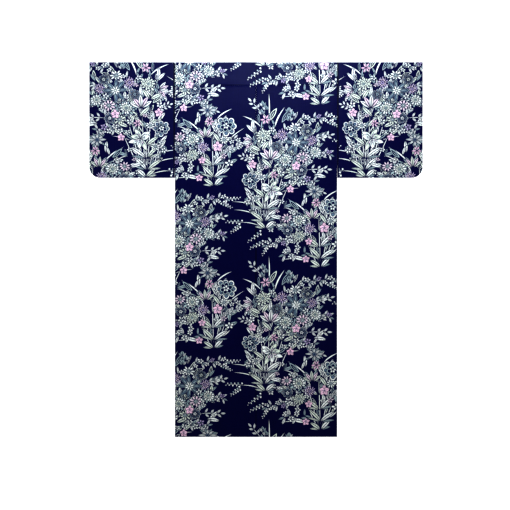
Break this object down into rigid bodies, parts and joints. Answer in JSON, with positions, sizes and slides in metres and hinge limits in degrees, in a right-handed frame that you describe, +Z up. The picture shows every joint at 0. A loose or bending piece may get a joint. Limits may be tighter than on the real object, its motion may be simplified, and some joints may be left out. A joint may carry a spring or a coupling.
{
  "type": "cotton yukata robe laid flat",
  "caption": "Long cotton robe with square hanging sleeves and a band collar, laid flat with its back up.",
  "frame": {"origin": "middle of the garment's outline, on the surface it lies on", "axes": "+Y along the body from the hem to the shoulders, +X across to the viewer's right when seen from above, +Z up out of the cloth of the back"},
  "size_m": [1.4146, 1.59, 0.0064],
  "materials": {
    "body_left": "navy plain-weave cotton, printed with pale flower bouquets",
    "body_right": "navy plain-weave cotton, printed with pale flower bouquets",
    "sleeve_left": "navy plain-weave cotton, printed with pale flower bouquets",
    "sleeve_right": "navy plain-weave cotton, printed with pale flower bouquets",
    "okumi_left": "navy plain-weave cotton, printed with pale flower bouquets",
    "okumi_right": "navy plain-weave cotton, printed with pale flower bouquets",
    "collar": "navy plain-weave cotton, printed with pale flower bouquets"
  },
  "bodies": {
    "root": {"body_left": "body_left", "body_right": "body_right", "sleeve_left": "sleeve_left", "sleeve_right": "sleeve_right", "okumi_left": "okumi_left", "okumi_right": "okumi_right", "collar": "collar"}
  },
  "joints": []
}
